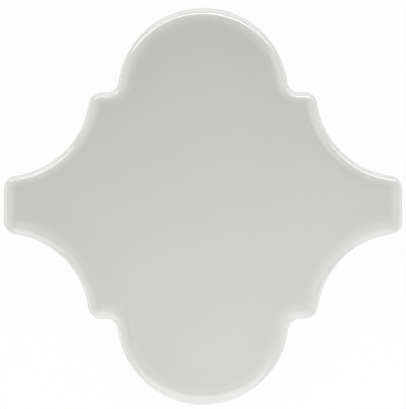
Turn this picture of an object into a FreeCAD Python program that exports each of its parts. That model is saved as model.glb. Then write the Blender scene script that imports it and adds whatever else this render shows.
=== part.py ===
import FreeCAD
import Part
import os
from math import atan2, ceil, cos, pi, radians, sin, sqrt, tan

# Arabesque wall tile: one pressed, glazed and fired piece of clay.
#
# The tile lies face up on its keyed back. The origin is the middle of the back plane, +X runs along
# the two flat-ended arms, +Y through the two round lobes, and +Z out of the glazed face. All sizes
# are in millimetres.
#
# The outline is an interlocking one. Each hollow between an arm and a lobe is an arc about the same
# centre as the lobe of the tile laid beside it, and each shoulder meets that tile's shoulder half
# way, so a field of these tiles closes with one even joint. The overall width and height follow
# from the lobe, the arm and the shoulder.

# Outline
LOBE_RADIUS = 25.7
ARM_END_HEIGHT = 17.2
SHOULDER_WIDTH = 8.5
JOINT_ALLOWANCE = 0.2
CORNER_RADIUS = 4.0
ROOT_RADIUS = 3.4

# Section, from the back plane up to the face
THICKNESS = 8.8
BACK_BEVEL = 0.6
WALL_DRAFT = 2.0  # degrees
CUSHION_WIDTH = 4.5
CUSHION_DROP = 1.8
CUSHION_SECTIONS = 6

# Keyed back, which holds the adhesive
BACK_BORDER = 4.4
RIB_WIDTH = 2.2
POCKET_SIZE = 7.4
POCKET_DEPTH = 0.7
POCKET_SLOPE = 30.0  # degrees
SMALLEST_POCKET_AREA = 12.0

# Where the outline steps in, each millimetre of inset takes this much off the corners' radius and
# adds it to the roots' radius, so that no rounding closes up before the face is reached.
ROUNDING_PACE = 0.8

RIM_Z = THICKNESS - CUSHION_DROP


def arc(centre_x, centre_y, radius, start, end, z):
    """Circular edge at height z from the angle start to the angle end, both in radians."""
    angles = (start, (start + end) / 2, end)
    points = [FreeCAD.Vector(centre_x + radius * cos(a), centre_y + radius * sin(a), z) for a in angles]
    return Part.Arc(*points).toShape()


def line(start_x, start_y, end_x, end_y, z):
    """Straight edge at height z."""
    return Part.LineSegment(FreeCAD.Vector(start_x, start_y, z), FreeCAD.Vector(end_x, end_y, z)).toShape()


def quarter_outline(inset, z):
    """Edges of the +X +Y quarter, from the top of the lobe round to the middle of the arm's end.

    The quarter lies `inset` inside the rim. Lobe, shoulder, hollow and arm end are parallel to the
    rim's, and the roundings between them are worked out anew to stay tangent to both neighbours.
    """
    lobe_y = LOBE_RADIUS + ARM_END_HEIGHT / 2
    lobe_radius = LOBE_RADIUS - inset
    shoulder_y = lobe_y - inset
    arm_end_x = 2 * LOBE_RADIUS + SHOULDER_WIDTH + JOINT_ALLOWANCE / 2 - inset
    root_radius = ROOT_RADIUS + ROUNDING_PACE * inset
    corner_radius = CORNER_RADIUS - ROUNDING_PACE * inset

    # The hollow goes round the lobe of the next tile, one joint away from it.
    hollow_x = 2 * LOBE_RADIUS + SHOULDER_WIDTH + JOINT_ALLOWANCE
    hollow_y = lobe_y + JOINT_ALLOWANCE
    hollow_radius = LOBE_RADIUS + JOINT_ALLOWANCE + inset

    # The root rolls on the shoulder and along the outside of the lobe.
    root_y = shoulder_y + root_radius
    root_x = sqrt((lobe_radius + root_radius) ** 2 - (root_y - lobe_y) ** 2)
    root_angle = atan2(root_y - lobe_y, root_x)

    # The shoulder's corner rolls under the shoulder and along the hollow.
    corner_y = shoulder_y - corner_radius
    corner_x = hollow_x - sqrt((hollow_radius + corner_radius) ** 2 - (hollow_y - corner_y) ** 2)
    corner_angle = atan2(hollow_y - corner_y, hollow_x - corner_x)

    # The arm's corner rolls inside the arm's end and along the hollow.
    tip_x = arm_end_x - corner_radius
    tip_y = hollow_y - sqrt((hollow_radius + corner_radius) ** 2 - (hollow_x - tip_x) ** 2)
    tip_angle = atan2(hollow_y - tip_y, hollow_x - tip_x)

    return [
        arc(0, lobe_y, lobe_radius, pi / 2, root_angle, z),
        arc(root_x, root_y, root_radius, root_angle + pi, 3 * pi / 2, z),
        line(root_x, shoulder_y, corner_x, shoulder_y, z),
        arc(corner_x, corner_y, corner_radius, pi / 2, corner_angle, z),
        arc(hollow_x, hollow_y, hollow_radius, corner_angle + pi, tip_angle + pi, z),
        arc(tip_x, tip_y, corner_radius, tip_angle, 0, z),
        line(arm_end_x, tip_y, arm_end_x, 0, z),
    ]


def outline(inset, z):
    """Closed wire of the whole outline, `inset` inside the rim, at height z."""
    middle = FreeCAD.Vector(0, 0, 0)
    quarter = quarter_outline(inset, z)
    right = quarter + [edge.mirror(middle, FreeCAD.Vector(0, 1, 0)) for edge in reversed(quarter)]
    left = [edge.mirror(middle, FreeCAD.Vector(1, 0, 0)) for edge in reversed(right)]
    return Part.Wire(right + left)


def wall_inset(z):
    """How far the drafted wall stands inside the rim at height z."""
    return (RIM_Z - z) * tan(radians(WALL_DRAFT))


def wall():
    """Body from the back plane up to the rim: a bevelled foot and a wall drafted out to the rim."""
    back = outline(wall_inset(0) + BACK_BEVEL, 0)
    foot = outline(wall_inset(BACK_BEVEL), BACK_BEVEL)
    rim = outline(0, RIM_Z)
    return Part.makeLoft([back, foot, rim], True, True)


def cushion():
    """Top of the tile: a quarter ellipse rolls in from the rim all round and ends in the flat face."""
    sections = []
    for step in range(CUSHION_SECTIONS):
        turn = pi / 2 * step / (CUSHION_SECTIONS - 1)
        inset = CUSHION_WIDTH * (1 - cos(turn))
        sections.append(outline(inset, RIM_Z + CUSHION_DROP * sin(turn)))
    return Part.makeLoft(sections, True, False)


def rib(offset, length):
    """Rib along Y at x = offset, its top flush with the back plane and its flanks sloping apart."""
    top = RIB_WIDTH / 2
    foot = top + POCKET_DEPTH * tan(radians(POCKET_SLOPE))
    section = [(-top, 0), (top, 0), (foot, POCKET_DEPTH), (-foot, POCKET_DEPTH), (-top, 0)]
    points = [FreeCAD.Vector(offset + x, -length / 2, z) for x, z in section]
    return Part.Face(Part.makePolygon(points)).extrude(FreeCAD.Vector(0, length, 0))


def back_pockets():
    """Grid of square pockets that the lower punch presses into the back, inside a plain border.

    Ribs at an even pitch leave the pockets between them. One rib crosses the middle of the tile each
    way, and the pockets that the border cuts too small to press are left out.
    """
    pitch = POCKET_SIZE + RIB_WIDTH
    reach = 2 * LOBE_RADIUS + SHOULDER_WIDTH
    count = ceil(reach / pitch)
    field = Part.Face(outline(wall_inset(0) + BACK_BORDER, 0)).extrude(FreeCAD.Vector(0, 0, POCKET_DEPTH))

    ribs = [rib(number * pitch, 2 * reach) for number in range(-count, count + 1)]
    cross_ribs = [bar.copy() for bar in ribs]
    for bar in cross_ribs:
        bar.rotate(FreeCAD.Vector(0, 0, 0), FreeCAD.Vector(0, 0, 1), 90)

    pockets = field.cut(ribs).cut(cross_ribs).Solids
    return [pocket for pocket in pockets if pocket.Volume > SMALLEST_POCKET_AREA * POCKET_DEPTH]


def arabesque_tile():
    """The whole tile as one solid."""
    body = wall().fuse(cushion())
    return body.cut(back_pockets())


def main():
    tile = arabesque_tile()
    os.makedirs("parts", exist_ok=True)
    tile.exportStep("parts/arabesque_tile.step")


main()
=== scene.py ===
"""Glazed arabesque wall tile, photographed from above on a white table.

The tile is one piece of fired clay: a keyed back and a bare clay foot below, and a glossy, warm grey
glaze over the upper wall, the soft cushion edge and the flat face. It is built here at the size of the
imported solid, in metres, with its back on z = 0 and its face up.
"""

from __future__ import annotations

import logging
from dataclasses import dataclass, field
from enum import Enum
from math import atan2, ceil, cos, pi, radians, sin, sqrt, tan

import bmesh
import bpy
from mathutils import Matrix, Vector, noise
from mathutils.kdtree import KDTree

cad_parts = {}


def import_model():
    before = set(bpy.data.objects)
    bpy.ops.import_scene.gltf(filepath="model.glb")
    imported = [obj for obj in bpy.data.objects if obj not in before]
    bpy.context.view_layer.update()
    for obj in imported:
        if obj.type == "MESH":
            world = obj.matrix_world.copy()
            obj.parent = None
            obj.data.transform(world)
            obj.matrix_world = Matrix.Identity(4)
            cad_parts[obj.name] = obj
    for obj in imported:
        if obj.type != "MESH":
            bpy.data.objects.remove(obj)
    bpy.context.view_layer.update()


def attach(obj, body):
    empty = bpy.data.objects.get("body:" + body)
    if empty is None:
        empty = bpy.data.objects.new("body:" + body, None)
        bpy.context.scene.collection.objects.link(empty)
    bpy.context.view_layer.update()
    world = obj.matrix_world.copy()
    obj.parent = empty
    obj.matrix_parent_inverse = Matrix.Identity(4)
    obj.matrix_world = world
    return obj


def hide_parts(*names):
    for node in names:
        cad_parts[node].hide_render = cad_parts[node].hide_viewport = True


LOG = logging.getLogger("arabesque_tile")

MM = 0.001
CAD_NODE = "arabesque_tile"
UP = Vector((0.0, 0.0, 1.0))
WELD = 0.004 * MM
WHITE = (1.0, 1.0, 1.0, 1.0)
RIM_DISTANCE = "rim_distance"
LEVEL_HEIGHT = "level_height"

Loop = list[bmesh.types.BMEdge]
Colour = tuple[float, float, float, float]
Paint = Colour | bpy.types.NodeSocket
Amount = float | bpy.types.NodeSocket
Inputs = dict[str | int, object]
Range = tuple[float, float]


class Surface(Enum):
    """The two surfaces of the fired tile, by the number of their material slot."""

    GLAZE = 0
    BISCUIT = 1


@dataclass
class Pen:
    """Draws a run of edges in a level plane, from one vertex on, in arcs and straight lines.

    Attributes:
        bm: The mesh that is drawn into.
        tip: The vertex that the next stretch starts from.
    """

    bm: bmesh.types.BMesh
    tip: bmesh.types.BMVert

    def arc(self, centre: Vector, turn: float, steps: int) -> None:
        """Draws an arc.

        Args:
            centre: Centre of the arc, at the tip's height.
            turn: Angle from the tip to the arc's end, counter-clockwise seen from above.
            steps: Number of edges.
        """
        drawn = bmesh.ops.spin(self.bm, geom=[self.tip], cent=centre, axis=UP, angle=turn, steps=steps)
        self.tip = drawn["geom_last"][0]

    def line(self, way: Vector, steps: int) -> None:
        """Draws a straight line.

        Args:
            way: From the tip to the line's end.
            steps: Number of edges.
        """
        for _ in range(steps):
            self.tip = bmesh.ops.extrude_vert_indiv(self.bm, verts=[self.tip])["verts"][0]
            bmesh.ops.translate(self.bm, verts=[self.tip], vec=way / steps)


@dataclass(frozen=True)
class TileOutline:
    """The interlocking outline: two round lobes, two flat-ended arms and four hollows between them.

    Each hollow is an arc about the same centre as the lobe of the tile laid beside it. Lengths are in
    metres.

    Attributes:
        lobe_radius: Radius of the lobes.
        arm_end_height: Height of the arms' flat ends before their corners are rounded.
        shoulder_width: How far a shoulder reaches out from the lobe before its corner is rounded.
        joint: Width of the joint between two tiles.
        corner_radius: Radius of the corners of shoulders and arms at the rim.
        root_radius: Radius between lobe and shoulder at the rim.
        rounding_pace: What each metre of inset takes off the corners' radius and adds to the roots'.
        lobe_steps: Edges of a quarter's stretch of lobe, and so on for the other stretches.
    """

    lobe_radius: float = 25.7 * MM
    arm_end_height: float = 17.2 * MM
    shoulder_width: float = 8.5 * MM
    joint: float = 0.2 * MM
    corner_radius: float = 4.0 * MM
    root_radius: float = 3.4 * MM
    rounding_pace: float = 0.8
    lobe_steps: int = 36
    root_steps: int = 14
    shoulder_steps: int = 3
    corner_steps: int = 16
    hollow_steps: int = 28
    arm_end_steps: int = 4

    def draw_quarter(self, bm: bmesh.types.BMesh, inset: float, z: float) -> Loop:
        """Draws the +X +Y quarter, from the top of the lobe to the middle of the arm's end.

        Args:
            bm: The mesh that is drawn into.
            inset: Distance inside the widest outline.
            z: Height of the outline.

        Returns:
            The quarter's edges.
        """
        lobe = Vector((0.0, self.lobe_radius + self.arm_end_height / 2, z))
        lobe_radius = self.lobe_radius - inset
        shoulder_y = lobe.y - inset
        arm_end_x = 2 * self.lobe_radius + self.shoulder_width + self.joint / 2 - inset
        root_radius = self.root_radius + self.rounding_pace * inset
        corner_radius = self.corner_radius - self.rounding_pace * inset

        hollow_x = 2 * self.lobe_radius + self.shoulder_width + self.joint
        hollow = Vector((hollow_x, lobe.y + self.joint, z))
        reach = self.lobe_radius + self.joint + inset + corner_radius

        root_y = shoulder_y + root_radius
        root = Vector((sqrt((lobe_radius + root_radius) ** 2 - (root_y - lobe.y) ** 2), root_y, z))
        root_angle = atan2(root.y - lobe.y, root.x)

        corner_y = shoulder_y - corner_radius
        corner = Vector((hollow.x - sqrt(reach**2 - (hollow.y - corner_y) ** 2), corner_y, z))
        corner_angle = atan2(hollow.y - corner.y, hollow.x - corner.x)

        tip_x = arm_end_x - corner_radius
        tip = Vector((tip_x, hollow.y - sqrt(reach**2 - (hollow.x - tip_x) ** 2), z))
        tip_angle = atan2(hollow.y - tip.y, hollow.x - tip.x)

        known = set(bm.edges)
        pen = Pen(bm, bm.verts.new((0.0, lobe.y + lobe_radius, z)))
        pen.arc(lobe, root_angle - pi / 2, self.lobe_steps)
        pen.arc(root, pi / 2 - root_angle, self.root_steps)
        pen.line(Vector((corner.x - root.x, 0.0, 0.0)), self.shoulder_steps)
        pen.arc(corner, corner_angle - pi / 2, self.corner_steps)
        pen.arc(hollow, tip_angle - corner_angle, self.hollow_steps)
        pen.arc(tip, -tip_angle, self.corner_steps)
        pen.line(Vector((0.0, -tip.y, 0.0)), self.arm_end_steps)
        return [edge for edge in bm.edges if edge not in known]

    def draw(self, inset: float, z: float) -> bmesh.types.BMesh:
        """Draws the whole outline.

        Args:
            inset: Distance inside the widest outline.
            z: Height of the outline.

        Returns:
            A mesh of the closed outline and nothing else.
        """
        bm = bmesh.new()
        self.draw_quarter(bm, inset, z)
        mirror_quarter(bm)
        return bm

    def border(self, inset: float) -> Border:
        """The outline at z = 0 as something to measure from, `inset` inside the widest one."""
        bm = self.draw(inset, 0.0)
        border = Border(list(bm.edges))
        bm.free()
        return border


def mirror_quarter(bm: bmesh.types.BMesh) -> None:
    """Makes a whole of a mesh that holds the +X +Y quarter of the tile."""
    for axis in ("Y", "X"):
        geometry = [*bm.verts, *bm.edges, *bm.faces]
        bmesh.ops.mirror(bm, geom=geometry, matrix=Matrix.Identity(4), merge_dist=WELD, axis=axis)
    bmesh.ops.recalc_face_normals(bm, faces=bm.faces)


def finished(bm: bmesh.types.BMesh, name: str) -> bpy.types.Mesh:
    """Writes a mesh out and frees the working copy."""
    mesh = bpy.data.meshes.new(name)
    bm.to_mesh(mesh)
    bm.free()
    return mesh


class Border:
    """Tells how far inside a closed, level loop a point lies."""

    def __init__(self, loop: Loop) -> None:
        """Reads the loop.

        Args:
            loop: The edges of a closed loop that goes round the middle of the tile.
        """
        verts = self._in_order(loop)
        self.places = [vert.co.copy() for vert in verts]
        following = self.places[1:] + self.places[:1]
        previous = self.places[-1:] + self.places[:-1]
        along = [after - before for before, after in zip(previous, following)]
        self.outward = [way.cross(UP).normalized() for way in along]
        self.tree = KDTree(len(self.places))
        for number, place in enumerate(self.places):
            self.tree.insert(place, number)
        self.tree.balance()

    @staticmethod
    def _in_order(loop: Loop) -> list[bmesh.types.BMVert]:
        """Walks the loop.

        Args:
            loop: The edges of a closed loop.

        Returns:
            Its vertices, counter-clockwise seen from above.
        """
        left = set(loop)
        vert = loop[0].verts[0]
        verts = []
        while left:
            verts.append(vert)
            edge = next(edge for edge in vert.link_edges if edge in left)
            left.remove(edge)
            vert = edge.other_vert(vert)
        turned = sum(a.co.cross(b.co).z for a, b in zip(verts, verts[1:] + verts[:1]))
        return verts if turned > 0 else verts[::-1]

    def depth(self, point: Vector) -> float:
        """Distance from the loop to a point, negative outside it."""
        place, number, _ = self.tree.find(point)
        return (place - point).dot(self.outward[number])

    def nearest(self, point: Vector) -> Vector:
        """The loop's vertex nearest to a point."""
        return self.tree.find(point)[0]


@dataclass(frozen=True)
class Level:
    """One level of the tile's edge.

    Attributes:
        inset: Distance of the outline there inside the widest one.
        z: Height of the level.
        surface: What shows on the band between this level and the one below.
    """

    inset: float
    z: float
    surface: Surface


@dataclass(frozen=True)
class TileEdge:
    """The tile's edge from the back plane up to the face: foot, bare wall, glazed wall and cushion.

    The glaze ends in a thick, rounded lip that wanders along the wall, as it does where it was wiped
    off before firing. Lengths are in metres.

    Attributes:
        thickness: Height of the face above the back plane.
        cushion_width: How far inside the rim the cushion edge ends.
        cushion_drop: How far the rim lies below the face.
        cushion_steps: Bands of the cushion edge.
        wall_draft: How far the wall leans in towards the back, in radians.
        wall_steps: Bands of the bare wall, and of the glazed wall too.
        foot_bevel: Width and height of the bevel along the back.
        foot_rounding: Distance from the bevel's upper edge at which its rounding starts.
        rounding_segments: Segments of each rounding.
        glaze_thickness: How far the glaze stands out from the bare wall.
        lip_z: Height at which the bare wall ends.
        lip_height: Height in which the glaze reaches its thickness.
        lip_rounding: Distance from the lip's edge at which its rounding starts.
        lip_wander: How far the lip wanders up and down.
        lip_wavelength: Length of its slow waves.
        lip_ripple: Height of its quick waves, as a share of the slow ones'.
        lip_ripple_pace: How much quicker the quick waves are.
        lip_reach: How far above and below the lip the wall moves with it.
    """

    thickness: float = 8.8 * MM
    cushion_width: float = 4.5 * MM
    cushion_drop: float = 1.8 * MM
    cushion_steps: int = 22
    wall_draft: float = radians(2.0)
    wall_steps: int = 5
    foot_bevel: float = 0.6 * MM
    foot_rounding: float = 0.12 * MM
    rounding_segments: int = 3
    glaze_thickness: float = 0.16 * MM
    lip_z: float = 1.9 * MM
    lip_height: float = 0.2 * MM
    lip_rounding: float = 0.09 * MM
    lip_wander: float = 0.55 * MM
    lip_wavelength: float = 13.0 * MM
    lip_ripple: float = 0.35
    lip_ripple_pace: float = 3.1
    lip_reach: float = 1.2 * MM

    @property
    def rim_z(self) -> float:
        """Height of the rim, where the wall ends and the cushion starts."""
        return self.thickness - self.cushion_drop

    @property
    def back_inset(self) -> float:
        """Distance of the back plane's outline inside the rim's."""
        return self._bare(0.0) + self.foot_bevel

    def wall_inset(self, z: float) -> float:
        """Distance of the glazed wall's outline at height z inside the rim's."""
        return (self.rim_z - z) * tan(self.wall_draft)

    def _bare(self, z: float) -> float:
        """Distance of the bare wall's outline at height z inside the rim's."""
        return self.wall_inset(z) + self.glaze_thickness

    def levels(self) -> list[Level]:
        """The edge's levels from the back plane up to the face."""
        lip_top = self.lip_z + self.lip_height
        levels = [Level(self.back_inset, 0.0, Surface.BISCUIT)]
        for step in range(self.wall_steps + 1):
            z = self.foot_bevel + (self.lip_z - self.foot_bevel) * step / self.wall_steps
            levels.append(Level(self._bare(z), z, Surface.BISCUIT))
        for step in range(self.wall_steps + 1):
            z = lip_top + (self.rim_z - lip_top) * step / self.wall_steps
            levels.append(Level(self.wall_inset(z), z, Surface.GLAZE))
        for step in range(1, self.cushion_steps + 1):
            turn = pi / 2 * step / self.cushion_steps
            z = self.rim_z + self.cushion_drop * sin(turn)
            levels.append(Level(self.cushion_width * (1 - cos(turn)), z, Surface.GLAZE))
        return levels

    def build(self, outline: TileOutline) -> bpy.types.Mesh:
        """Bridges each level to the next in one quarter, mirrors it and finishes the foot and the lip.

        Args:
            outline: The tile's outline.

        Returns:
            The edge as a band that is open at the back and at the face.
        """
        bm = bmesh.new()
        levels = self.levels()
        lower = outline.draw_quarter(bm, levels[0].inset, levels[0].z)
        for level in levels[1:]:
            upper = outline.draw_quarter(bm, level.inset, level.z)
            for face in bmesh.ops.bridge_loops(bm, edges=lower + upper)["faces"]:
                face.material_index = level.surface.value
                face.smooth = True
            lower = upper
        mirror_quarter(bm)
        self._round_off(bm, self.foot_bevel, self.foot_rounding)
        self._round_off(bm, self.lip_z + self.lip_height, self.lip_rounding)
        level_height = bm.verts.layers.float.new(LEVEL_HEIGHT)
        for vert in bm.verts:
            vert[level_height] = vert.co.z
        self._let_lip_wander(bm)
        return finished(bm, "edge")

    def _round_off(self, bm: bmesh.types.BMesh, z: float, radius: float) -> None:
        """Bevels the edges of one level.

        Args:
            bm: The mesh that is built.
            z: Height of the level.
            radius: Distance from the edges at which the rounding starts.
        """
        level = [edge for edge in bm.edges if all(abs(vert.co.z - z) < WELD for vert in edge.verts)]
        bmesh.ops.bevel(
            bm,
            geom=level,
            offset=radius,
            segments=self.rounding_segments,
            profile=0.5,
            affect="EDGES",
            material=-1,
        )

    def _let_lip_wander(self, bm: bmesh.types.BMesh) -> None:
        """Moves the lip up and down along the wall as it goes round the tile."""
        for vert in bm.verts:
            nearness = 1 - abs(vert.co.z - self.lip_z) / self.lip_reach
            if nearness > 0:
                place = Vector((vert.co.x, vert.co.y, 0.0)) / self.lip_wavelength
                ripple = noise.noise(place * self.lip_ripple_pace)
                drift = noise.noise(place) + self.lip_ripple * ripple
                vert.co.z += self.lip_wander * drift * nearness


@dataclass(frozen=True)
class GlazedFace:
    """The flat face, with the faint swell that a pool of glaze keeps. Lengths are in metres.

    Attributes:
        cell: Width of the cells of the grid that fills the face.
        margin: Least distance from the grid to the face's outline.
        swell: How far the face lies below its outline at most.
        swell_length: Length of the waves.
        fade: Distance from the outline over which the waves rise to their full height.
    """

    cell: float = 2.5 * MM
    margin: float = 2.2 * MM
    swell: float = 0.05 * MM
    swell_length: float = 24.0 * MM
    fade: float = 7.0 * MM

    def build(self, outline: TileOutline, inset: float, z: float) -> bpy.types.Mesh:
        """Fills the face with an even grid and joins the grid to the outline.

        Args:
            outline: The tile's outline.
            inset: Distance of the face's outline inside the widest one.
            z: Height of the face.

        Returns:
            The face as an open sheet.
        """
        bm = outline.draw(inset, z)
        rim = list(bm.edges)
        border = Border(rim)
        cells = 2 * ceil(max(place.length for place in border.places) / self.cell)
        grid = bmesh.ops.create_grid(
            bm,
            x_segments=cells,
            y_segments=cells,
            size=cells * self.cell / 2,
            matrix=Matrix.Translation((0.0, 0.0, z)),
        )["verts"]
        outside = [vert for vert in grid if border.depth(vert.co) < self.margin]
        bmesh.ops.delete(bm, geom=outside, context="VERTS")
        grid_rim = [edge for edge in bm.edges if edge.is_boundary]
        bmesh.ops.triangle_fill(bm, edges=rim + grid_rim, use_beauty=True)
        for face in bm.faces:
            face.material_index = Surface.GLAZE.value
            face.smooth = True
        for vert in bm.verts:
            share = min(max(border.depth(vert.co) / self.fade, 0.0), 1.0)
            eased = share * share * (3 - 2 * share)
            wave = (1 + noise.noise(vert.co / self.swell_length)) / 2
            vert.co.z -= self.swell * wave * eased
        level_height = bm.verts.layers.float.new(LEVEL_HEIGHT)
        for vert in bm.verts:
            vert[level_height] = z
        return finished(bm, "face")


@dataclass(frozen=True)
class KeyedBack:
    """The back with its grid of pressed pockets, which holds the adhesive. Lengths are in metres.

    Attributes:
        border: Width of the plain border round the pockets, with the foot's bevel.
        rib_width: Width of the ribs between them.
        pocket_size: Length of a whole pocket's sides.
        pocket_depth: Depth of the pockets.
        pocket_slope: How far a pocket's sides lean out from upright, in radians.
        mouth_rounding: Width of the soft edge round a pocket's mouth.
        smallest_area: Area of mouth below which no pocket is pressed.
    """

    border: float = 4.4 * MM
    rib_width: float = 2.2 * MM
    pocket_size: float = 7.4 * MM
    pocket_depth: float = 0.7 * MM
    pocket_slope: float = radians(30.0)
    mouth_rounding: float = 0.12 * MM
    smallest_area: float = 12.0 * MM * MM

    def build(self, outline: TileOutline, inset: float, border_inset: float) -> bpy.types.Mesh:
        """Presses the pockets and closes the back plane round them.

        Args:
            outline: The tile's outline.
            inset: Distance of the back plane's outline inside the widest one.
            border_inset: Distance inside the widest outline at which the border ends.

        Returns:
            The back as an open sheet.
        """
        border = outline.border(border_inset)
        bm = outline.draw(inset, 0.0)
        rim = list(bm.edges)
        pitch = self.pocket_size + self.rib_width
        count = ceil(max(abs(vert.co.x) for vert in bm.verts) / pitch)
        steps = [(number + 0.5) * pitch for number in range(-count, count)]
        centres = [Vector((x, y, 0.0)) for x in steps for y in steps]
        for centre in centres:
            if border.depth(centre) > -self.pocket_size:
                self._press_pocket(bm, centre, border)
        mouths = [edge for edge in bm.edges if edge.is_boundary]
        bmesh.ops.triangle_fill(bm, edges=rim + mouths, use_beauty=True)
        for face in bm.faces:
            face.material_index = Surface.BISCUIT.value
            face.smooth = False
        for edge in rim + mouths:
            edge.smooth = False
        return finished(bm, "back")

    def _press_pocket(self, bm: bmesh.types.BMesh, centre: Vector, border: Border) -> None:
        """Presses one pocket of the grid, cut off along the border, or none where too little is left.

        Args:
            bm: The mesh that is built.
            centre: Middle of the pocket.
            border: The loop that the pocket stays inside.
        """
        known = set(bm.faces)
        square = bmesh.ops.create_grid(
            bm,
            x_segments=1,
            y_segments=1,
            size=self.pocket_size / 2,
            matrix=Matrix.Translation(centre),
        )["verts"]
        for corner in [vert.co.copy() for vert in square]:
            mouth = [face for face in bm.faces if face not in known]
            if border.depth(corner) < 0 and mouth:
                stop = border.nearest(corner)
                geometry = [*mouth, *mouth[0].edges, *mouth[0].verts]
                bmesh.ops.bisect_plane(
                    bm, geom=geometry, plane_co=stop, plane_no=corner - stop, clear_outer=True
                )
        mouth = [face for face in bm.faces if face not in known]
        if mouth and mouth[0].calc_area() < self.smallest_area:
            bmesh.ops.delete(bm, geom=mouth, context="FACES")
        elif mouth:
            rounding = self.mouth_rounding
            depth = self.pocket_depth - rounding / 2
            for width, drop in ((rounding, rounding / 2), (depth * tan(self.pocket_slope), depth)):
                bmesh.ops.inset_region(bm, faces=mouth, thickness=width, depth=drop, use_boundary=True)


@dataclass(frozen=True)
class ArabesqueTile:
    """The whole tile as one closed mesh with a glazed and a bare surface.

    Attributes:
        outline: Its outline.
        edge: Its edge, from the back plane up to the face.
        face: Its flat face.
        back: Its back with the pockets.
        name: Name of its object and of its mesh.
    """

    outline: TileOutline = field(default_factory=TileOutline)
    edge: TileEdge = field(default_factory=TileEdge)
    face: GlazedFace = field(default_factory=GlazedFace)
    back: KeyedBack = field(default_factory=KeyedBack)
    name: str = "glazed_arabesque_tile"

    def build(self) -> bpy.types.Object:
        """Builds the three stretches of the surface and welds them together.

        Returns:
            The tile's object, in the scene, with its mesh in place.
        """
        edge, outline = self.edge, self.outline
        border_inset = edge.wall_inset(0.0) + self.back.border
        stretches = (
            edge.build(outline),
            self.face.build(outline, edge.cushion_width, edge.thickness),
            self.back.build(outline, edge.back_inset, border_inset),
        )
        bm = bmesh.new()
        for stretch in stretches:
            bm.from_mesh(stretch)
            bpy.data.meshes.remove(stretch)
        seams = [vert for vert in bm.verts if vert.is_boundary]
        bmesh.ops.remove_doubles(bm, verts=seams, dist=WELD)
        bmesh.ops.recalc_face_normals(bm, faces=bm.faces)
        self._note_rim_distance(bm)
        tile = bpy.data.objects.new(self.name, finished(bm, self.name))
        bpy.context.collection.objects.link(tile)
        LOG.info("%s: %d faces", self.name, len(tile.data.polygons))
        return tile

    def _note_rim_distance(self, bm: bmesh.types.BMesh) -> None:
        """Stores how far inside the widest outline each vertex lies. The glaze's colour follows it."""
        rim = self.outline.border(0.0)
        rim_distance = bm.verts.layers.float.new(RIM_DISTANCE)
        for vert in bm.verts:
            vert[rim_distance] = rim.depth(Vector((vert.co.x, vert.co.y, 0.0)))

    @staticmethod
    def dress(tile: bpy.types.Object, finishes: dict[Surface, bpy.types.Material]) -> None:
        """Gives each surface of the tile its material.

        Args:
            tile: The tile's object.
            finishes: The material of each surface.
        """
        for surface in Surface:
            tile.data.materials.append(finishes[surface])


@dataclass(frozen=True)
class NodeBoard:
    """A node tree that nodes are put into and wired up in one go.

    Attributes:
        tree: The shader node tree.
    """

    tree: bpy.types.NodeTree

    def put(self, kind: str, inputs: Inputs | None = None, **settings: object) -> bpy.types.Node:
        """Adds a node.

        Args:
            kind: The node's type name.
            inputs: For each input, a value or the output socket that feeds it.
            **settings: The node's own properties.

        Returns:
            The node.
        """
        node = self.tree.nodes.new(kind)
        for key, value in settings.items():
            setattr(node, key, value)
        for key, value in (inputs or {}).items():
            if isinstance(value, bpy.types.NodeSocket):
                self.tree.links.new(value, node.inputs[key])
            else:
                node.inputs[key].default_value = value
        return node

    def place(self) -> bpy.types.NodeSocket:
        """The place on the surface, in the object's own metres."""
        return self.put("ShaderNodeTexCoord").outputs["Object"]

    def noted(self, name: str) -> bpy.types.NodeSocket:
        """The number that the mesh stores at each vertex under this name."""
        return self.put("ShaderNodeAttribute", attribute_name=name).outputs["Fac"]

    def cloud(self, place: bpy.types.NodeSocket, scale: Amount, detail: float) -> bpy.types.NodeSocket:
        """Makes a soft, cloudy noise.

        Args:
            place: Output that gives the place on the surface.
            scale: How many clouds go into a metre, or the output that gives it.
            detail: How many times finer clouds are laid over them.

        Returns:
            The noise, from 0 to 1.
        """
        inputs = {"Vector": place, "Scale": scale, "Detail": detail}
        return self.put("ShaderNodeTexNoise", inputs).outputs["Fac"]

    def bump(
        self,
        height: bpy.types.NodeSocket,
        distance: float,
        normal: bpy.types.NodeSocket | None = None,
    ) -> bpy.types.NodeSocket:
        """Raises the surface.

        Args:
            height: Output that gives the relief, about from 0 to 1.
            distance: How high a relief of 1 stands, in metres.
            normal: The normal that the relief goes on top of, or none for the mesh's own.

        Returns:
            The new normal.
        """
        inputs = {"Height": height, "Distance": distance, "Strength": 1.0}
        if normal:
            inputs["Normal"] = normal
        return self.put("ShaderNodeBump", inputs).outputs["Normal"]

    def mix(self, mask: bpy.types.NodeSocket, low: Paint, high: Paint) -> bpy.types.NodeSocket:
        """Mixes two colours by a mask.

        Args:
            mask: Output that is 0 where the first colour shows and 1 where the second does.
            low: The first colour, or the output that gives it.
            high: The second colour, or the output that gives it.

        Returns:
            The mixed colour.
        """
        mask_input, low_input, high_input, colour_output = 0, 6, 7, 2
        inputs = {mask_input: mask, low_input: low, high_input: high}
        return self.put("ShaderNodeMix", inputs, data_type="RGBA").outputs[colour_output]

    def spread(self, value: bpy.types.NodeSocket, source: Range, target: Range) -> bpy.types.NodeSocket:
        """Maps one range of values onto another, and stops at its ends.

        Args:
            value: The output that is mapped.
            source: The range of values that counts.
            target: What the range's ends become.

        Returns:
            The mapped output.
        """
        ends = {"From Min": source[0], "From Max": source[1], "To Min": target[0], "To Max": target[1]}
        return self.put("ShaderNodeMapRange", {"Value": value, **ends}).outputs["Result"]

    def sums(self, operation: str, *values: Amount) -> bpy.types.NodeSocket:
        """Does a sum on one or two values.

        Args:
            operation: The Math node's operation.
            *values: The values, or the outputs that give them.

        Returns:
            The result.
        """
        node = self.put("ShaderNodeMath", dict(enumerate(values)), operation=operation)
        return node.outputs["Value"]


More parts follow.
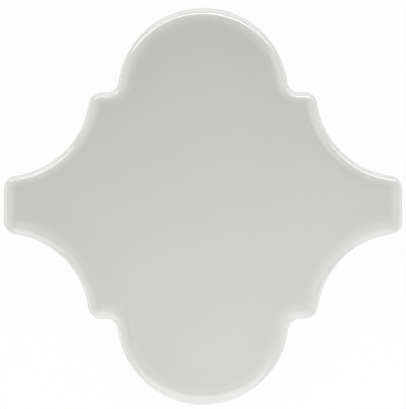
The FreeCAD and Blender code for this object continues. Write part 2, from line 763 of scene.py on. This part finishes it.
def new_material(name: str) -> bpy.types.Material:
    """A material with an empty node tree."""
    made = bpy.data.materials.new(name)
    made.use_nodes = True
    made.node_tree.nodes.clear()
    return made


class Effect(Enum):
    """The effects that both finishes share, each a node group that is built once."""

    MOTTLE = "clay_mottle"
    GRAIN = "clay_grain"

    def group(self) -> bpy.types.NodeTree:
        """The effect's node group, built at the first call."""
        known = bpy.data.node_groups.get(self.value)
        if known:
            return known
        tree = bpy.data.node_groups.new(self.value, "ShaderNodeTree")
        build = {Effect.MOTTLE: self._mottle, Effect.GRAIN: self._grain}[self]
        build(tree)
        return tree

    def put_on(
        self,
        board: NodeBoard,
        place: bpy.types.NodeSocket,
        **inputs: float,
    ) -> bpy.types.NodeSocket:
        """Puts the effect into a material.

        Args:
            board: The material's board.
            place: Output that gives the place on the surface.
            **inputs: The effect's other inputs.

        Returns:
            The effect's output.
        """
        node = board.put("ShaderNodeGroup", {"Place": place, **inputs}, node_tree=self.group())
        return node.outputs[0]

    @staticmethod
    def _sockets(tree: bpy.types.NodeTree, inputs: dict[str, float], output: str) -> NodeBoard:
        """Gives a group its sockets.

        Args:
            tree: The group.
            inputs: Name and default of each number that the group takes, besides its place.
            output: Name of the number that it puts out.

        Returns:
            A board on the group.
        """
        tree.interface.new_socket("Place", in_out="INPUT", socket_type="NodeSocketVector")
        for name, value in inputs.items():
            socket = tree.interface.new_socket(name, in_out="INPUT", socket_type="NodeSocketFloat")
            socket.default_value = value
        tree.interface.new_socket(output, in_out="OUTPUT", socket_type="NodeSocketFloat")
        return NodeBoard(tree)

    @staticmethod
    def _mottle(tree: bpy.types.NodeTree) -> None:
        """Soft cloudy patches, as a mask from 0 to 1. A contrast of 1 is four times the noise's own."""
        middle, steepness = 0.5, 4.0
        board = Effect._sockets(tree, {"Scale": 30.0, "Contrast": 0.5}, "Mask")
        given = board.put("NodeGroupInput").outputs
        patches = board.cloud(given["Place"], given["Scale"], detail=3.0)
        centred = board.sums("SUBTRACT", patches, middle)
        spread = board.sums("MULTIPLY", centred, board.sums("MULTIPLY", given["Contrast"], steepness))
        mask = board.put("ShaderNodeClamp", {"Value": board.sums("ADD", spread, middle)})
        board.put("NodeGroupOutput", {"Mask": mask.outputs["Result"]})

    @staticmethod
    def _grain(tree: bpy.types.NodeTree) -> None:
        """Fine fired grain: a rough noise with fewer, round pits, as a height of 1 at most."""
        pits_per_grain, pit_slope = 0.35, (0.06, 0.22)
        board = Effect._sockets(tree, {"Scale": 1200.0, "Pits": 0.5}, "Height")
        given = board.put("NodeGroupInput").outputs
        grit = board.cloud(given["Place"], given["Scale"], detail=4.0)
        pit_scale = board.sums("MULTIPLY", given["Scale"], pits_per_grain)
        cells = board.put("ShaderNodeTexVoronoi", {"Vector": given["Place"], "Scale": pit_scale})
        pit = board.spread(cells.outputs["Distance"], pit_slope, (1.0, 0.0))
        dent = board.sums("MULTIPLY", pit, given["Pits"])
        board.put("NodeGroupOutput", {"Height": board.sums("SUBTRACT", grit, dent)})


@dataclass(frozen=True)
class GlazeFinish:
    """Glossy warm grey glaze. It is thinner and paler towards the rim, and gathers above its lower lip.
    The paler rim is partly thin glaze and partly painted sheen of the bright surroundings on the rounded
    edge.

    Attributes:
        name: Name of the material.
        pool: Colour where the glaze is thick, as on the face.
        drift: The second colour there, in soft patches.
        patch_scale: How many patches go into a metre.
        patch_contrast: How sharply they stand out.
        thin_and_sheen: Colour at the rim: thin glaze and painted sheen on the rounded edge.
        thinning_and_sheen: Distances inside the rim at which the paleness starts and is strongest.
        thinning_and_sheen_power: How long the deep colour holds on its way to the rim.
        gathering: Heights on the wall at which the glaze starts to thicken again and is thickest.
        still_pale: Share of the rim's paleness, thin glaze and painted sheen, that is left at these two
            heights.
        roughness: Roughness where the glaze is thick and where it is thin.
        ior: Index of refraction.
        reflection_tint: Tint of its reflections.
        ripple_height: Height of the ripple in its surface, in metres.
        ripple_scale: How many ripples go into a metre.
        grain_height: Height of its fine grain, in metres.
        grain_scale: How many grains go into a metre.
        pits: Depth of the pinholes, as a share of the grain's height.
    """

    name: str = "warm_grey_glaze"
    pool: Colour = (0.518, 0.531, 0.483, 1.0)
    drift: Colour = (0.533, 0.543, 0.498, 1.0)
    patch_scale: float = 38.0
    patch_contrast: float = 0.6
    # Paler colour at the rim: partly thin glaze, partly painted sheen of the bright surroundings on the
    # rounded edge.
    thin_and_sheen: Colour = (0.805, 0.815, 0.785, 1.0)
    thinning_and_sheen: Range = (5.1 * MM, 0.0)
    thinning_and_sheen_power: float = 1.4
    gathering: Range = (6.7 * MM, 3.4 * MM)
    still_pale: Range = (1.0, 0.1)
    roughness: Range = (0.12, 0.04)
    ior: float = 1.68
    reflection_tint: Colour = (0.930, 0.860, 1.000, 1.0)
    ripple_height: float = 0.012 * MM
    ripple_scale: float = 90.0
    grain_height: float = 0.0012 * MM
    grain_scale: float = 900.0
    pits: float = 0.2

    def material(self) -> bpy.types.Material:
        """Builds the material.

        Returns:
            The material, ready to be assigned.
        """
        made = new_material(self.name)
        board = NodeBoard(made.node_tree)
        place = board.place()
        patches = Effect.MOTTLE.put_on(board, place, Scale=self.patch_scale, Contrast=self.patch_contrast)
        deep = board.mix(patches, self.pool, self.drift)
        # Paler towards the rim: partly thinner glaze, partly painted sheen of the bright surroundings on
        # the rounded edge.
        nearness = board.spread(board.noted(RIM_DISTANCE), self.thinning_and_sheen, (0.0, 1.0))
        thin_and_sheen_mask = board.sums("POWER", nearness, self.thinning_and_sheen_power)
        still_pale = board.spread(board.noted(LEVEL_HEIGHT), self.gathering, self.still_pale)
        colour = board.mix(board.sums("MULTIPLY", thin_and_sheen_mask, still_pale), deep, self.thin_and_sheen)
        roughness = board.spread(thin_and_sheen_mask, (0.0, 1.0), self.roughness)
        ripple = board.cloud(place, self.ripple_scale, detail=1.0)
        swell = board.bump(ripple, self.ripple_height)
        grain = Effect.GRAIN.put_on(board, place, Scale=self.grain_scale, Pits=self.pits)
        shader = board.put(
            "ShaderNodeBsdfPrincipled",
            {
                "Base Color": colour,
                "Roughness": roughness,
                "IOR": self.ior,
                "Specular Tint": self.reflection_tint,
                "Normal": board.bump(grain, self.grain_height, swell),
            },
        )
        board.put("ShaderNodeOutputMaterial", {"Surface": shader.outputs["BSDF"]})
        return made


@dataclass(frozen=True)
class BiscuitFinish:
    """Bare fired clay: dull, pale and gritty, with fine specks of kiln dust.

    Attributes:
        name: Name of the material.
        clay: Colour of the clay.
        warm: The second colour of the clay, in soft patches.
        patch_scale: How many patches go into a metre.
        patch_contrast: How sharply they stand out.
        dust: Colour of the specks.
        speck_scale: How many specks go into a metre.
        speck_contrast: How sharply they stand out.
        dusting: Values of the specks' mask at which the dust starts to show and is densest.
        densest_dust: How much of the clay the dust hides there.
        roughness: Roughness of the clay.
        grain_height: Height of the grain, in metres.
        grain_scale: How many grains go into a metre.
        pits: Depth of the pits, as a share of the grain's height.
    """

    name: str = "bare_clay"
    clay: Colour = (0.700, 0.620, 0.510, 1.0)
    warm: Colour = (0.620, 0.520, 0.410, 1.0)
    patch_scale: float = 45.0
    patch_contrast: float = 0.8
    dust: Colour = (0.800, 0.770, 0.720, 1.0)
    speck_scale: float = 2400.0
    speck_contrast: float = 0.7
    dusting: Range = (0.55, 1.0)
    densest_dust: float = 0.5
    roughness: float = 0.9
    grain_height: float = 0.05 * MM
    grain_scale: float = 1500.0
    pits: float = 0.7

    def material(self) -> bpy.types.Material:
        """Builds the material.

        Returns:
            The material, ready to be assigned.
        """
        made = new_material(self.name)
        board = NodeBoard(made.node_tree)
        place = board.place()
        patches = Effect.MOTTLE.put_on(board, place, Scale=self.patch_scale, Contrast=self.patch_contrast)
        specks = Effect.MOTTLE.put_on(board, place, Scale=self.speck_scale, Contrast=self.speck_contrast)
        grain = Effect.GRAIN.put_on(board, place, Scale=self.grain_scale, Pits=self.pits)
        dusty = board.spread(specks, self.dusting, (0.0, self.densest_dust))
        colour = board.mix(dusty, board.mix(patches, self.clay, self.warm), self.dust)
        shader = board.put(
            "ShaderNodeBsdfPrincipled",
            {
                "Base Color": colour,
                "Roughness": self.roughness,
                "Normal": board.bump(grain, self.grain_height),
            },
        )
        board.put("ShaderNodeOutputMaterial", {"Surface": shader.outputs["BSDF"]})
        return made


class Diffuser(Enum):
    """The shape of a lamp's diffuser, with the share of its width times its height that it fills."""

    RECTANGLE = 1.0
    ELLIPSE = pi / 4


@dataclass(frozen=True)
class SoftLight:
    """A lamp with a flat diffuser, which hangs round the tile and faces it.

    Attributes:
        name: What the lamp does.
        distance: From the middle of the tile, in metres.
        height: Angle above the table, in degrees, or below it where it is negative.
        side: Angle round the tile from +X towards +Y, in degrees.
        size: Width and height of its diffuser, in metres.
        radiance: How bright the diffuser is; 1 lights a white surface right in front of it to white.
        diffuser: The diffuser's shape.
        tint: Colour of its light.
    """

    name: str
    distance: float
    height: float
    side: float
    size: tuple[float, float]
    radiance: float
    diffuser: Diffuser = Diffuser.RECTANGLE
    tint: tuple[float, float, float] = (1.0, 1.0, 1.0)

    @property
    def place(self) -> Vector:
        """Where the lamp hangs."""
        height, side = radians(self.height), radians(self.side)
        return self.distance * Vector((cos(height) * cos(side), cos(height) * sin(side), sin(height)))

    def hang(self) -> bpy.types.Object:
        """Hangs the lamp, turned to the tile.

        Returns:
            The lamp's object.
        """
        data = bpy.data.lights.new(self.name, "AREA")
        data.shape = self.diffuser.name
        data.size, data.size_y = self.size
        data.color = self.tint
        data.energy = self.radiance * pi * self.size[0] * self.size[1] * self.diffuser.value
        lamp = bpy.data.objects.new(self.name, data)
        lamp.location = self.place
        lamp.rotation_mode = "QUATERNION"
        lamp.rotation_quaternion = self.place.to_track_quat("Z", "Y")
        bpy.context.collection.objects.link(lamp)
        return lamp


@dataclass(frozen=True)
class Studio:
    """A white table without an end, soft lamps round the tile and the camera over it.

    The overhead lamps add up to one soft light that is brightest in its middle.

    Attributes:
        table_size: Length of the square table's sides, in metres.
        table_white: How white the table is.
        table_glow: Share of plain white that the table gets where it is seen.
        sky: Strength of the even light from all round.
        lights: The lamps. The last one lights the back from below.
        camera_place: Where the camera stands, in metres.
        camera_aim: The point that it looks at, in metres.
        camera_clip: How near to the camera things still show, in metres.
        lens: Its focal length, in millimetres.
    """

    table_size: float = 6.0
    table_white: float = 0.85
    table_glow: float = 0.94
    sky: float = 0.05
    lights: tuple[SoftLight, ...] = (
        SoftLight("overhead_core", 1.10, 86.0, 320.0, (0.15, 0.15), 0.85, Diffuser.ELLIPSE),
        SoftLight("overhead_spot", 1.10, 86.0, 320.0, (0.35, 0.35), 0.64, Diffuser.ELLIPSE),
        SoftLight("overhead_middle", 1.10, 86.0, 320.0, (0.52, 0.52), 0.29, Diffuser.ELLIPSE),
        SoftLight("overhead_wide", 1.10, 75.8, 280.0, (0.59, 0.59), 0.97, Diffuser.ELLIPSE),
        SoftLight("overhead_wider", 1.10, 75.8, 280.0, (0.69, 0.69), 0.77, Diffuser.ELLIPSE),
        SoftLight("overhead_widest", 1.10, 75.8, 280.0, (0.80, 0.80), 0.66, Diffuser.ELLIPSE),
        SoftLight("overhead_fringe", 1.10, 75.8, 280.0, (0.93, 0.93), 0.40, Diffuser.ELLIPSE),
        SoftLight("near_window", 0.32, 43.0, 270.0, (0.50, 0.18), 1.70),
        SoftLight("near_low", 0.60, 15.0, 270.0, (0.90, 0.15), 1.90),
        SoftLight("far_window", 1.20, 24.0, 90.0, (1.70, 0.72), 1.55),
        SoftLight("far_strip", 0.45, 43.9, 90.0, (0.76, 0.022), 14.00),
        SoftLight("left_window", 0.70, 15.0, 180.0, (0.80, 0.25), 1.69, tint=(1.0, 0.94, 0.88)),
        SoftLight("left_high", 0.70, 55.0, 180.0, (0.60, 0.25), 0.47),
        SoftLight("right_window", 0.70, 15.0, 0.0, (0.80, 0.25), 1.38),
        SoftLight("right_high", 0.70, 58.0, 0.0, (0.60, 0.32), 0.80),
        SoftLight("under_table", 0.80, -65.0, 215.0, (1.00, 1.00), 2.40),
    )
    camera_place: tuple[float, float, float] = (0.0, -0.0580, 0.7030)
    camera_aim: tuple[float, float, float] = (0.0, 0.00013, 0.0070)
    camera_clip: float = 0.01
    lens: float = 204.0

    def build(self, model: ArabesqueTile) -> None:
        """Sets up the table, the sky, the lamps and the camera.

        Args:
            model: The tile that lies on the table.
        """
        self._table(model)
        self._sky()
        for light in self.lights:
            light.hang()
        self._camera()
        bpy.context.scene.view_settings.view_transform = "Standard"

    @staticmethod
    def _seen(board: NodeBoard) -> bpy.types.NodeSocket:
        """1 for rays that show the background in the picture, directly or in the glaze."""
        rays = board.put("ShaderNodeLightPath").outputs
        direct = board.sums("MAXIMUM", rays["Is Camera Ray"], rays["Is Glossy Ray"])
        return board.sums("MAXIMUM", direct, rays["Is Transmission Ray"])

    def _table(self, model: ArabesqueTile) -> bpy.types.Object:
        """Lays the table top round the tile's foot.

        It is open under the tile, so that the back shows from below.

        Args:
            model: The tile that lies on the table.

        Returns:
            The table's object.
        """
        bm = model.outline.draw(model.edge.back_inset, 0.0)
        bmesh.ops.create_grid(bm, x_segments=1, y_segments=1, size=self.table_size / 2)
        bmesh.ops.delete(bm, geom=list(bm.faces), context="FACES_ONLY")
        bmesh.ops.triangle_fill(bm, edges=list(bm.edges), use_beauty=True, normal=UP)
        table = bpy.data.objects.new("white_table", finished(bm, "white_table"))
        bpy.context.collection.objects.link(table)
        made = new_material("white_table_top")
        board = NodeBoard(made.node_tree)
        white = self.table_white
        top = board.put("ShaderNodeBsdfDiffuse", {"Color": (white, white, white, 1.0)})
        glow = board.put("ShaderNodeEmission", {"Color": WHITE, "Strength": 1.0})
        share = board.sums("MULTIPLY", self._seen(board), self.table_glow)
        shares = {0: share, 1: top.outputs["BSDF"], 2: glow.outputs["Emission"]}
        shown = board.put("ShaderNodeMixShader", shares)
        board.put("ShaderNodeOutputMaterial", {"Surface": shown.outputs["Shader"]})
        table.data.materials.append(made)
        return table

    def _sky(self) -> None:
        """Makes the surroundings white in the picture and an even soft light on the tile."""
        world = bpy.data.worlds.new("white_surroundings")
        world.use_nodes = True
        world.node_tree.nodes.clear()
        board = NodeBoard(world.node_tree)
        strength = board.spread(self._seen(board), (0.0, 1.0), (self.sky, 1.0))
        backdrop = board.put("ShaderNodeBackground", {"Color": WHITE, "Strength": strength})
        board.put("ShaderNodeOutputWorld", {"Surface": backdrop.outputs["Background"]})
        bpy.context.scene.world = world

    def _camera(self) -> bpy.types.Object:
        """Sets the camera over the tile, a little to the near side.

        Returns:
            The camera's object.
        """
        data = bpy.data.cameras.new("over_the_tile")
        data.lens = self.lens
        data.clip_start = self.camera_clip
        camera = bpy.data.objects.new("over_the_tile", data)
        camera.location = self.camera_place
        camera.rotation_mode = "QUATERNION"
        way = Vector(self.camera_aim) - Vector(self.camera_place)
        camera.rotation_quaternion = way.to_track_quat("-Z", "Y")
        bpy.context.collection.objects.link(camera)
        bpy.context.scene.camera = camera
        return camera


def main() -> None:
    """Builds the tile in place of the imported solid, dresses it and sets up the studio."""
    logging.basicConfig(level=logging.INFO, format="%(name)s: %(message)s")
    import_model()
    model = ArabesqueTile()
    tile = model.build()
    finishes = {Surface.GLAZE: GlazeFinish().material(), Surface.BISCUIT: BiscuitFinish().material()}
    model.dress(tile, finishes)
    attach(tile, "root")
    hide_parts(CAD_NODE)
    Studio().build(model)


if __name__ == "__main__":
    main()
